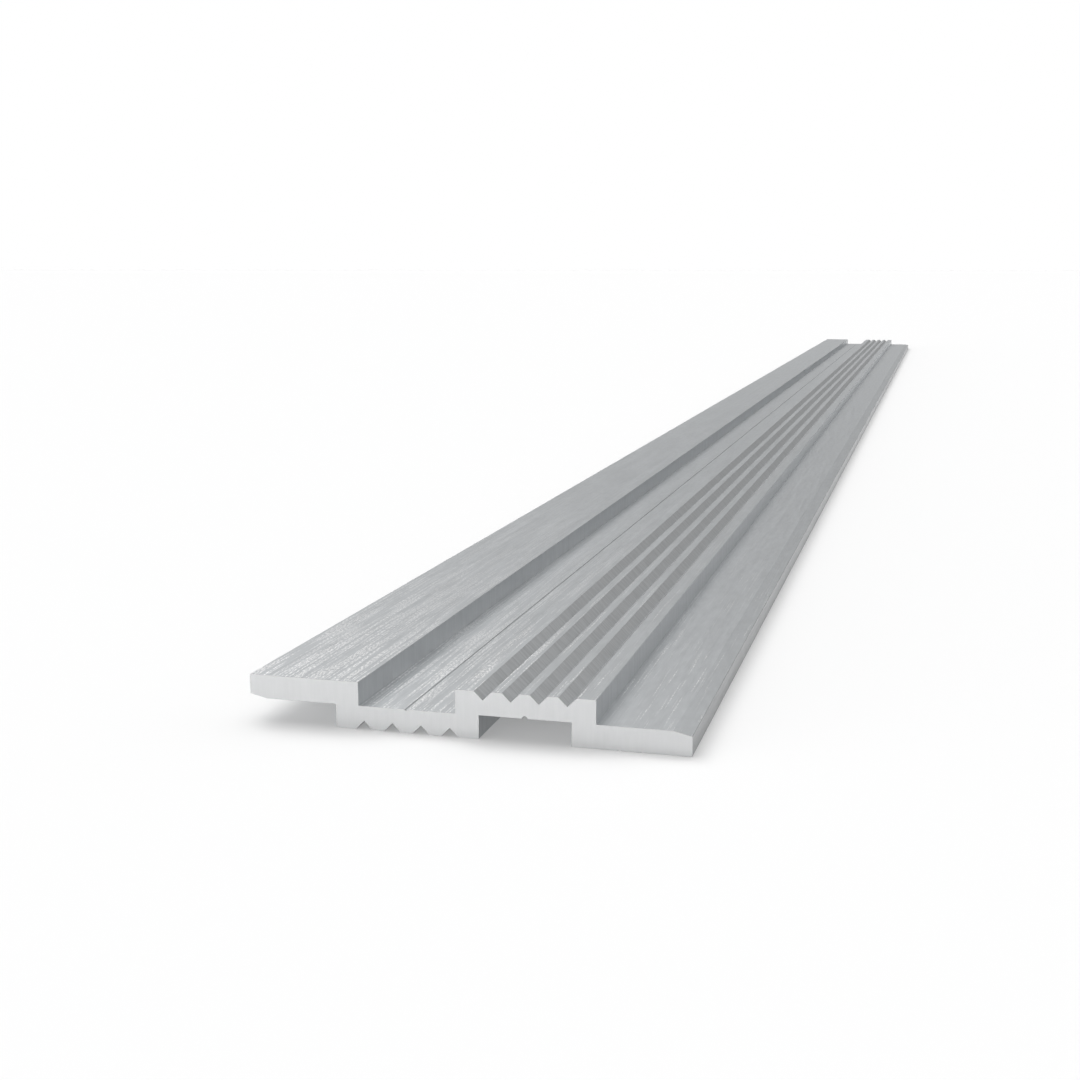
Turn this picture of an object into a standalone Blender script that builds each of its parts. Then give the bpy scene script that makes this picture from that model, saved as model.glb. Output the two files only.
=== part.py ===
"""A one-piece extruded aluminium threshold strip: its section, drawn once, extruded along its length.

+X runs across the strip, from the raised flange to the low flange. +Y runs along it and +Z is up.
The origin is at the middle of the strip, on the surface that it lies on. All sizes are in metres.

The section, from -X to +X: a raised flange that laps over the flooring, a wall down to the floor, a
channel over a lower web, a wall, a raised tread web over a hollow, a wall, and a low flange."""

import math

import bpy

NAME = "threshold_strip"

# Driving dimensions
LENGTH = 0.920
WALL = 0.003           # thickness of every flange, web and wall
RAISED_REACH = 0.0115  # raised flange, outwards from its wall
CHANNEL_WIDTH = 0.0125
HOLLOW_WIDTH = 0.0115
LOW_REACH = 0.0115     # low flange, outwards from its wall

CHAMFER_WIDTH = 0.00225  # along both flange tips
CHAMFER_DROP = 0.0005

GROOVE_COUNT = 4       # in the tread, and again in the bedding face under the channel
GROOVE_DEPTH = 0.0011  # the groove's sides stand at 45 degrees, so it is twice as wide as it is deep

CHANNEL_LINE_HALF_WIDTH = 0.00022  # rounded guide line along the middle of the channel's floor
CHANNEL_LINE_DEPTH = 0.00016
HOLLOW_LINE_RADIUS = 0.00033      # half-round one along the middle of the hollow's roof
LINE_STEPS = 8

SCORE_HALF_WIDTH = 0.00025  # pair of fine lines under the low flange
SCORE_DEPTH = 0.00012
SCORE_PITCH = 0.00275

# Stations across the section, from the tip of the raised flange
HEIGHT = 2 * WALL
RAISED_WALL = RAISED_REACH
CHANNEL_START = RAISED_WALL + WALL
CHANNEL_END = CHANNEL_START + CHANNEL_WIDTH
HOLLOW_START = CHANNEL_END + WALL
HOLLOW_END = HOLLOW_START + HOLLOW_WIDTH
LOW_FLANGE_START = HOLLOW_END + WALL
WIDTH = LOW_FLANGE_START + LOW_REACH


def even_centres(start, end, count):
    """Places count grooves between start and end, with the same space before, between and after."""
    pitch = (end - start) / (count + 1)
    return [start + pitch * (i + 1) for i in range(count)]


def vee(centre, level, half_width, depth):
    """A V notch: its two lips and its root. A positive depth cuts upwards, a negative one downwards."""
    return [(centre - half_width, level), (centre, level + depth), (centre + half_width, level)]


def rounded_line(centre, level, half_width, depth):
    """A line with a rounded bottom, as points from -X to +X. The depth's sign is that of vee."""
    angles = [math.pi * i / LINE_STEPS for i in range(LINE_STEPS + 1)]
    return [(centre - half_width * math.cos(a), level + depth * math.sin(a)) for a in angles]


def lower_edge():
    """The section's underside, from the raised flange's tip to the low flange's tip."""
    points = [(0, WALL + CHAMFER_DROP), (CHAMFER_WIDTH, WALL), (RAISED_WALL, WALL), (RAISED_WALL, 0)]
    for centre in even_centres(RAISED_WALL, HOLLOW_START, GROOVE_COUNT):
        points += vee(centre, 0, GROOVE_DEPTH, GROOVE_DEPTH)
    points += [(HOLLOW_START, 0), (HOLLOW_START, WALL)]
    middle = (HOLLOW_START + HOLLOW_END) / 2
    points += rounded_line(middle, WALL, HOLLOW_LINE_RADIUS, HOLLOW_LINE_RADIUS)
    points += [(HOLLOW_END, WALL), (HOLLOW_END, 0)]
    for side in (-1, 1):
        centre = (HOLLOW_END + WIDTH + side * SCORE_PITCH) / 2
        points += vee(centre, 0, SCORE_HALF_WIDTH, SCORE_DEPTH)
    return points + [(WIDTH, 0)]


def upper_edge():
    """The section's top, from the raised flange's tip to the low flange's tip."""
    points = [(0, HEIGHT), (CHANNEL_START, HEIGHT), (CHANNEL_START, WALL)]
    middle = (CHANNEL_START + CHANNEL_END) / 2
    points += rounded_line(middle, WALL, CHANNEL_LINE_HALF_WIDTH, -CHANNEL_LINE_DEPTH)
    points += [(CHANNEL_END, WALL), (CHANNEL_END, HEIGHT)]
    for centre in even_centres(CHANNEL_END, LOW_FLANGE_START, GROOVE_COUNT):
        points += vee(centre, HEIGHT, GROOVE_DEPTH, -GROOVE_DEPTH)
    points += [(LOW_FLANGE_START, HEIGHT), (LOW_FLANGE_START, WALL)]
    return points + [(WIDTH - CHAMFER_WIDTH, WALL), (WIDTH, WALL - CHAMFER_DROP)]


def satin_aluminium():
    """Mill-finish aluminium with a fine satin grain."""
    material = bpy.data.materials.new("satin_aluminium")
    material.use_nodes = True
    shader = material.node_tree.nodes["Principled BSDF"]
    shader.inputs["Base Color"].default_value = (0.52, 0.53, 0.54, 1)
    shader.inputs["Metallic"].default_value = 1.0
    shader.inputs["Roughness"].default_value = 0.35
    return material


def extrude_section(name, points, length, material, collection):
    """A filled 2D curve, as thick as the strip is long, stood up so that its plane is world XZ."""
    curve = bpy.data.curves.new(name, "CURVE")
    curve.dimensions = "2D"
    curve.fill_mode = "BOTH"
    curve.extrude = length / 2
    spline = curve.splines.new("POLY")
    spline.points.add(len(points) - 1)
    for point, (x, z) in zip(spline.points, points):
        point.co = (x, z, 0, 1)
    spline.use_cyclic_u = True
    curve.materials.append(material)
    strip = bpy.data.objects.new(name, curve)
    strip.rotation_euler = (math.pi / 2, 0, 0)
    strip.location = (-WIDTH / 2, 0, 0)
    collection.objects.link(strip)
    return strip


def main():
    for old in list(bpy.data.objects):
        bpy.data.objects.remove(old)
    collection = bpy.data.collections.new(NAME)
    bpy.context.scene.collection.children.link(collection)
    outline = lower_edge() + upper_edge()[::-1]
    extrude_section("threshold_profile", outline, LENGTH, satin_aluminium(), collection)


main()
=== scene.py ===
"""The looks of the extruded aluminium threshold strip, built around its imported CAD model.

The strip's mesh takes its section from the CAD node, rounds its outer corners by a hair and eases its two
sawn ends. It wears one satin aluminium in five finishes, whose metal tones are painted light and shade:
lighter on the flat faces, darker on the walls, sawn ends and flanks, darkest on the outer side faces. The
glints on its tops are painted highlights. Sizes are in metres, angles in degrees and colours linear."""

import math
from collections import namedtuple

import bpy
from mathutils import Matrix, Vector


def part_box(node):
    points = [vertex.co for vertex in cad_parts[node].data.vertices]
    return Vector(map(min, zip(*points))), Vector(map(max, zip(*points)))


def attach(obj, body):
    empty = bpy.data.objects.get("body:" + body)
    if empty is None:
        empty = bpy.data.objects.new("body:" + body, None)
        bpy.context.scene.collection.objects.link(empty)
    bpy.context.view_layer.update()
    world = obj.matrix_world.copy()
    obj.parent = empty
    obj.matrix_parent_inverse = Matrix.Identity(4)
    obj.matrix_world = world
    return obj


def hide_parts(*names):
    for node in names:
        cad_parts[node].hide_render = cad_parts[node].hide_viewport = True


NODE = "threshold_profile"
WHITE = (1.0, 1.0, 1.0, 1.0)

EDGE_RADIUS = 0.00009    # rounding of the die's corners
EDGE_STEPS = 4
SETBACK_SHARE = 0.4      # the most that one corner's rounding takes of a side
SHORT_EDGE = 0.0002      # the sides of the rounded guide lines are shorter, and need no rounding
END_EASE = 0.00002       # the saw's burr, rubbed down
LEAST_FACING = 0.5       # keeps the eased ring from running far at an acute corner
SHARP_ANGLE = 30.0
FLAT_WEIGHT = 100        # the modifier's most, so that broad faces shade flat
SAME_PLACE = 1e-6
PLACE_DIGITS = 7

SAWN_NORMAL = 0.5        # a face whose normal has more along Y than this is a sawn end
FLAT_NORMAL = 0.35       # below this much across, a face lies flat
WALL_NORMAL = 0.75       # above this much across, a face stands up

EYE_FROM_NEAR_LEFT = (0.08241, -0.16600, 0.05608)  # from the box's corner at the left of the near end
EYE_PITCH = 10.306       # below the horizon
EYE_YAW = 15.093         # to the left of the strip's length
LENS = 50.0              # millimetres, as is SENSOR
SENSOR = 36.0
CLIP_START = 0.01

FLOOR_REACH = 30.0
FLOOR_WHITE = 0.655
FLOOR_ROUGHNESS = 0.9
FLOOR_GLOW = 0.23        # light that comes up through the white floor

HORIZON = 0.048          # the tent's brightness at the horizon
ZENITH = 0.30            # and overhead
FRONT_AZIMUTH = 206.6
FRONT_GLOW = 14.9
FRONT_NARROWNESS = 2.0   # the power that a softbox's facing is raised to
FRONT_FLATNESS = 6.5     # how closely the front softbox keeps to the horizon
TOP_AZIMUTH = -33.2
TOP_ELEVATION = 62.7
TOP_GLOW = 2.85
TOP_NARROWNESS = 6.1
CARD_AZIMUTH = 42.8
CARD_ELEVATION = 14.9
CARD_GLOW = 0.98
CARD_NARROWNESS = 8.0
KEY_AZIMUTH = -50.0
KEY_ELEVATION = 42.1
KEY_WIDTH = 26.0
KEY_POWER = 0.70

# The finishes' grain and marks are real. Their metal tones are painted light and shade, set by which way
# a face points: lightest on the flat faces, darker on the walls, sawn ends and groove flanks, darkest on
# the outer side faces. sparkle sets the painted glints.
FinishAndShade = namedtuple("FinishAndShade", "name long_axes metal contrast fineness sparkle")
ALONG = FinishAndShade("satin_along", "Y", (0.546, 0.564, 0.577), contrast=0.05, fineness=1.0, sparkle=1.0)
ACROSS = FinishAndShade("satin_across", "XZ", (0.474, 0.491, 0.504), contrast=0.035, fineness=1.2, sparkle=0.0)
SAWN = FinishAndShade("satin_sawn", "YZ", (0.469, 0.475, 0.479), contrast=0.02, fineness=1.0, sparkle=0.0)
# Painted shade: the outer side faces wear a much darker metal.
SHADED_EDGE = FinishAndShade("satin_edge_painted_shade", "Y", (0.350, 0.360, 0.366), contrast=0.05, fineness=1.0, sparkle=0.0)
# Painted shade: the groove flanks wear a darker metal; their stronger marks are real grain.
SHADED_FLANK = FinishAndShade("satin_flank_painted_shade", "XZ", (0.449, 0.460, 0.468), contrast=0.10, fineness=0.7, sparkle=0.0)
FINISHES_AND_SHADES = (ALONG, ACROSS, SAWN, SHADED_EDGE, SHADED_FLANK)

# The width, length and fineness of detail of each kind of mark.
DOT = (0.00015, 0.0007, 0.0)
SPINDLE = (0.00028, 0.014, 1.0)
STREAK = (0.0008, 0.02, 3.0)
CLUSTER = (0.003, 0.04, 1.0)
SPECKLE = (0.0008, 0.003, 4.0)

STREAK_SHARE = 0.6       # of the tone, which also sets the gloss and the scratches
SPINDLE_SHARE = 0.4
MOTTLE = 0.8             # the speckle's part in the shade
MIDDLE = 0.5             # the mean of the noise
TONE_SPAN = (0.35, 0.65)
ROUGHNESS = (0.37, 0.32)  # over the tone's span
SCRATCH_DEPTH = 0.000005

SPINDLE_LEVELS = (0.65, 0.79)   # where a spindle starts to show a painted glint, and shows it fully
DOT_LEVELS = (0.46, 0.58)
DOT_FLOOR = 0.12         # what is left of a painted glint between its dots
CLUSTERING = 0.40
SPARKLE_SPAN = (-0.006, 0.020)  # the x over which the painted glints thin out
SPARKLE_THINNING = 0.16
SPARKLE_REACH = 0.34     # how far the painted glints run from the near end
SPARKLE_FADING = 4.0


def cad_section(node):
    """The node's section as an ordered ring of (x, z) points, anticlockwise when looking along +Y."""
    mesh = node.data
    low_y = min(v.co.y for v in mesh.vertices)
    span = {}
    for polygon in mesh.polygons:
        if abs(polygon.normal.y) > SAWN_NORMAL:
            continue
        corners = [mesh.vertices[i].co for i in polygon.vertices]
        for here, there in zip(corners, corners[1:] + corners[:1]):
            if abs(here.y - low_y) < SAME_PLACE and abs(there.y - low_y) < SAME_PLACE:
                start = (round(here.x, PLACE_DIGITS), round(here.z, PLACE_DIGITS))
                span[start] = (round(there.x, PLACE_DIGITS), round(there.z, PLACE_DIGITS))
    first = min(span)
    ring = [first]
    while span[ring[-1]] != first:
        ring.append(span[ring[-1]])
    ring = [Vector(p) for p in ring]
    area = sum(a.x * b.y - b.x * a.y for a, b in zip(ring, ring[1:] + ring[:1]))
    return ring if area > 0 else ring[::-1]


def corners_of(ring):
    """Each point of the ring with the points before and after it."""
    return zip(ring[-1:] + ring[:-1], ring, ring[1:] + ring[:1])


def rounded(ring):
    """The ring with an arc at each outer corner. Corners between two short sides stay as they are."""
    points = []
    for before, corner, after in corners_of(ring):
        back, ahead = before - corner, after - corner
        inner = back.x * ahead.y > back.y * ahead.x
        if inner or max(back.length, ahead.length) < SHORT_EDGE:
            points.append(corner)
            continue
        half = back.angle(ahead) / 2
        setback = min(EDGE_RADIUS / math.tan(half), min(back.length, ahead.length) * SETBACK_SHARE)
        radius = setback * math.tan(half)
        inwards = (back.normalized() + ahead.normalized()).normalized()
        centre = corner + inwards * (radius / math.sin(half))
        start = corner + back.normalized() * setback - centre
        stop = corner + ahead.normalized() * setback - centre
        turn = start.angle_signed(stop)
        for step in range(EDGE_STEPS + 1):
            angle = -turn * step / EDGE_STEPS
            cosine, sine = math.cos(angle), math.sin(angle)
            spoke = Vector((start.x * cosine - start.y * sine, start.x * sine + start.y * cosine))
            points.append(centre + spoke)
    return points


def inset(ring, depth):
    """The ring moved inwards by depth, each corner along the bisector of its two sides."""
    moved = []
    for before, corner, after in corners_of(ring):
        arriving, leaving = (corner - before).normalized(), (after - corner).normalized()
        inwards = Vector((-arriving.y - leaving.y, arriving.x + leaving.x)).normalized()
        facing = max(LEAST_FACING, inwards.dot(Vector((-leaving.y, leaving.x))))
        moved.append(corner + inwards * (depth / facing))
    return moved


def strip_mesh(node):
    """The strip as one closed mesh: the rounded section lofted along Y, a little smaller at its ends."""
    low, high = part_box(node.name)
    ring = rounded(cad_section(node))
    eased = inset(ring, END_EASE)
    stations = [
        (low.y, eased),
        (low.y + END_EASE, ring),
        (high.y - END_EASE, ring),
        (high.y, eased),
    ]
    count = len(ring)
    vertices = [(p.x, y, p.y) for y, section in stations for p in section]
    faces = [tuple(range(count)), tuple(range(4 * count - 1, 3 * count - 1, -1))]
    for row in range(len(stations) - 1):
        for i in range(count):
            a, b = row * count + i, row * count + (i + 1) % count
            faces.append((a, a + count, b + count, b))
    mesh = bpy.data.meshes.new("satin_strip")
    mesh.from_pydata(vertices, [], faces)
    mesh.shade_smooth()
    mesh.set_sharp_from_angle(angle=math.radians(SHARP_ANGLE))
    return mesh


def finish_and_shade_of(polygon, sides):
    """Which of the five finishes a lofted face wears, picked by which way it points, and with it the
    painted light and shade of its tone. sides are the x of the strip's two outer edges.
    """
    if abs(polygon.normal.y) > SAWN_NORMAL:
        return SAWN
    if abs(polygon.normal.x) < FLAT_NORMAL:
        return ALONG
    if min(abs(polygon.center.x - side) for side in sides) < EDGE_RADIUS:
        return SHADED_EDGE
    return SHADED_FLANK if abs(polygon.normal.x) < WALL_NORMAL else ACROSS


class Nodes:
    """A short hand for building a node tree."""

    def __init__(self, tree):
        self.tree = tree

    def add(self, kind, inputs=None, **settings):
        node = self.tree.nodes.new(kind)
        for key, value in settings.items():
            setattr(node, key, value)
        for key, value in (inputs or {}).items():
            self.feed(node.inputs[key], value)
        return node

    def feed(self, socket, value):
        if isinstance(value, bpy.types.NodeSocket):
            self.tree.links.new(value, socket)
        else:
            socket.default_value = value

    def noise(self, place, size, detail):
        """Noise whose blobs are about size across, in metres along each axis."""
        scale = tuple(1 / s for s in size)
        mapping = self.add("ShaderNodeMapping", {"Vector": place, "Scale": scale})
        inputs = {"Vector": mapping.outputs["Vector"], "Scale": 1.0, "Detail": detail}
        return self.add("ShaderNodeTexNoise", inputs).outputs["Fac"]

    def remap(self, value, source, target):
        inputs = {"Value": value, 1: source[0], 2: source[1], 3: target[0], 4: target[1]}
        return self.add("ShaderNodeMapRange", inputs).outputs["Result"]

    def maths(self, operation, first, second):
        return self.add("ShaderNodeMath", {0: first, 1: second}, operation=operation).outputs["Value"]

    def blend(self, *weighted):
        """The sum of (value, weight) pairs."""
        total = 0.0
        for value, weight in weighted:
            total = self.maths("ADD", self.maths("MULTIPLY", value, weight), total)
        return total


def satin(finish_and_shade, near_y):
    """Satin aluminium whose marks run along the long axes it is given.

    contrast is how far the marks lighten and darken the metal, and fineness widens them. The metal tone
    is painted light and shade, set for each way a face points. sparkle is the strength of the painted
    glints, highlights mixed into the base colour towards white, which gather along spindles in loose
    clusters, fade out from the near end at near_y and thin out towards the low flange."""
    material = bpy.data.materials.new(finish_and_shade.name)
    material.use_nodes = True
    nodes = Nodes(material.node_tree)
    shader = material.node_tree.nodes["Principled BSDF"]
    place = nodes.add("ShaderNodeTexCoord").outputs["Object"]

    def marks(width, length, detail):
        size = tuple(length if axis in finish_and_shade.long_axes else width * finish_and_shade.fineness for axis in "XYZ")
        return nodes.noise(place, size, detail)

    dots = marks(*DOT)
    spindles = marks(*SPINDLE)
    streaks = marks(*STREAK)
    clusters = marks(*CLUSTER)
    speckle = marks(*SPECKLE)

    tone = nodes.blend((streaks, STREAK_SHARE), (spindles, SPINDLE_SHARE))
    mottle = nodes.blend((tone, 1.0), (nodes.maths("SUBTRACT", speckle, MIDDLE), MOTTLE))
    shade = nodes.remap(mottle, TONE_SPAN, (1 - finish_and_shade.contrast, 1 + finish_and_shade.contrast))
    # The metal tone holds each face's painted light and shade; the marks only vary it at random.
    tinted = {0: finish_and_shade.metal, "Scale": shade}
    plain = nodes.add("ShaderNodeVectorMath", tinted, operation="SCALE").outputs["Vector"]

    where = nodes.add("ShaderNodeSeparateXYZ", {"Vector": place}).outputs
    thinning = nodes.remap(where["X"], SPARKLE_SPAN, (0.0, 1.0))
    fading = nodes.remap(where["Y"], (near_y, near_y + SPARKLE_REACH), (1.0, 0.0))
    gathered = nodes.blend((spindles, 1.0), (clusters, CLUSTERING), (thinning, -SPARKLE_THINNING))
    bright_spindles = nodes.remap(gathered, SPINDLE_LEVELS, (0.0, 1.0))
    bright_dots = nodes.remap(dots, DOT_LEVELS, (DOT_FLOOR, 1.0))
    strength = nodes.maths("MULTIPLY", nodes.maths("POWER", fading, SPARKLE_FADING), finish_and_shade.sparkle)
    painted_glint = nodes.maths("MULTIPLY", nodes.maths("MULTIPLY", bright_spindles, bright_dots), strength)
    # Painted highlight: the base colour goes towards white where the glints fall.
    colour = nodes.add("ShaderNodeMixRGB", {"Fac": painted_glint, "Color1": plain, "Color2": WHITE})

    nodes.feed(shader.inputs["Base Color"], colour.outputs["Color"])
    nodes.feed(shader.inputs["Roughness"], nodes.remap(tone, TONE_SPAN, ROUGHNESS))
    shader.inputs["Metallic"].default_value = 1.0
    bump = nodes.add("ShaderNodeBump", {"Height": tone, "Strength": 1.0, "Distance": SCRATCH_DEPTH})
    nodes.feed(shader.inputs["Normal"], bump.outputs["Normal"])
    return material


def make_strip(frame):
    """The strip, in place of the CAD node."""
    mesh = strip_mesh(frame["nodes"][NODE])
    low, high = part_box(NODE)
    for finish_and_shade in FINISHES_AND_SHADES:
        mesh.materials.append(satin(finish_and_shade, low.y))
    # Each face wears the tone of the way it points, painted light and shade included.
    for polygon in mesh.polygons:
        polygon.material_index = FINISHES_AND_SHADES.index(finish_and_shade_of(polygon, (low.x, high.x)))
    strip = bpy.data.objects.new("satin_strip", mesh)
    bpy.context.scene.collection.objects.link(strip)
    weighted = strip.modifiers.new("flat_faces_stay_flat", "WEIGHTED_NORMAL")
    weighted.mode = "FACE_AREA"
    weighted.weight = FLAT_WEIGHT
    weighted.keep_sharp = True
    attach(strip, "root")
    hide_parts(NODE)


def make_floor(height):
    """White paper under the strip, lit a little from below."""
    mesh = bpy.data.meshes.new("studio_floor")
    corners = [(-1, -1), (1, -1), (1, 1), (-1, 1)]
    mesh.from_pydata([(x * FLOOR_REACH, y * FLOOR_REACH, height) for x, y in corners], [], [(0, 1, 2, 3)])
    floor = bpy.data.objects.new("studio_floor", mesh)
    bpy.context.scene.collection.objects.link(floor)
    material = bpy.data.materials.new("white_paper")
    material.use_nodes = True
    shader = material.node_tree.nodes["Principled BSDF"]
    shader.inputs["Base Color"].default_value = (FLOOR_WHITE, FLOOR_WHITE, FLOOR_WHITE, 1.0)
    shader.inputs["Roughness"].default_value = FLOOR_ROUGHNESS
    shader.inputs["Emission Color"].default_value = WHITE
    shader.inputs["Emission Strength"].default_value = FLOOR_GLOW
    shader.inputs["Specular IOR Level"].default_value = 0.0
    mesh.materials.append(material)


def direction(azimuth, elevation):
    """A unit vector. Azimuth is from +Y towards +X, elevation above the floor."""
    turn, rise = math.radians(azimuth), math.radians(elevation)
    return Vector((math.sin(turn) * math.cos(rise), math.cos(turn) * math.cos(rise), math.sin(rise)))


def make_world():
    """A dim tent, a wide low softbox in front, a wide one overhead and a small low card behind."""
    world = bpy.data.worlds.new("studio")
    bpy.context.scene.world = world
    world.use_nodes = True
    nodes = Nodes(world.node_tree)
    ray = nodes.add("ShaderNodeTexCoord").outputs["Generated"]

    def towards(azimuth, elevation, narrowness):
        dot = {0: ray, 1: direction(azimuth, elevation)}
        facing = nodes.add("ShaderNodeVectorMath", dot, operation="DOT_PRODUCT").outputs["Value"]
        return nodes.maths("POWER", nodes.maths("MAXIMUM", facing, 0.0), narrowness)

    height = nodes.add("ShaderNodeSeparateXYZ", {"Vector": ray}).outputs["Z"]
    above = nodes.maths("MAXIMUM", height, 0.0)
    rise = {"Value": above, 3: HORIZON, 4: ZENITH}
    tent = nodes.add("ShaderNodeMapRange", rise, interpolation_type="SMOOTHSTEP").outputs["Result"]
    lowness = nodes.maths("POWER", nodes.maths("SUBTRACT", 1.0, above), FRONT_FLATNESS)
    front = nodes.maths("MULTIPLY", towards(FRONT_AZIMUTH, 0, FRONT_NARROWNESS), lowness)
    top = towards(TOP_AZIMUTH, TOP_ELEVATION, TOP_NARROWNESS)
    card = towards(CARD_AZIMUTH, CARD_ELEVATION, CARD_NARROWNESS)
    glow = nodes.blend((tent, 1.0), (front, FRONT_GLOW), (top, TOP_GLOW), (card, CARD_GLOW))
    studio = world.node_tree.nodes["Background"]
    nodes.feed(studio.inputs["Strength"], glow)
    studio.inputs["Color"].default_value = WHITE
    paper = nodes.add("ShaderNodeBackground", {"Color": WHITE, "Strength": 1.0})
    seen = nodes.add("ShaderNodeLightPath").outputs["Is Camera Ray"]
    mix = nodes.add("ShaderNodeMixShader", {"Fac": seen, 1: studio.outputs[0], 2: paper.outputs[0]})
    nodes.feed(world.node_tree.nodes["World Output"].inputs["Surface"], mix.outputs[0])


def make_key_light():
    """A round softbox behind the strip, up to its left, that rakes along its top."""
    data = bpy.data.lights.new("key_softbox", "SUN")
    data.energy = KEY_POWER
    data.angle = math.radians(KEY_WIDTH)
    light = bpy.data.objects.new("key_softbox", data)
    light.rotation_euler = direction(KEY_AZIMUTH, KEY_ELEVATION).to_track_quat("Z", "Y").to_euler()
    bpy.context.scene.collection.objects.link(light)


def make_camera(low):
    """The photograph's viewpoint, placed from the lowest corner of the strip's box."""
    data = bpy.data.cameras.new("camera")
    data.lens = LENS
    data.sensor_width = SENSOR
    data.clip_start = CLIP_START
    camera = bpy.data.objects.new("camera", data)
    camera.location = Vector((low.x, low.y, low.z)) + Vector(EYE_FROM_NEAR_LEFT)
    camera.rotation_euler = (math.radians(90 - EYE_PITCH), 0, math.radians(EYE_YAW))
    bpy.context.scene.collection.objects.link(camera)
    bpy.context.scene.camera = camera


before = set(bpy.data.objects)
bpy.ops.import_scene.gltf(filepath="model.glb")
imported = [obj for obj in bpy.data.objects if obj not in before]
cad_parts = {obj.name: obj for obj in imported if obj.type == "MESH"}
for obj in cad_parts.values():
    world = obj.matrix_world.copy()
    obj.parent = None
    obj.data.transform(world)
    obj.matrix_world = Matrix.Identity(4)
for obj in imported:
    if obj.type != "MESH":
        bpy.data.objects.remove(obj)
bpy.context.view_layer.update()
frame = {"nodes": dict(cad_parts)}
make_strip(frame)
low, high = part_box(NODE)
make_floor(low.z)
make_world()
make_key_light()
make_camera(low)
bpy.context.scene.view_settings.view_transform = "Standard"
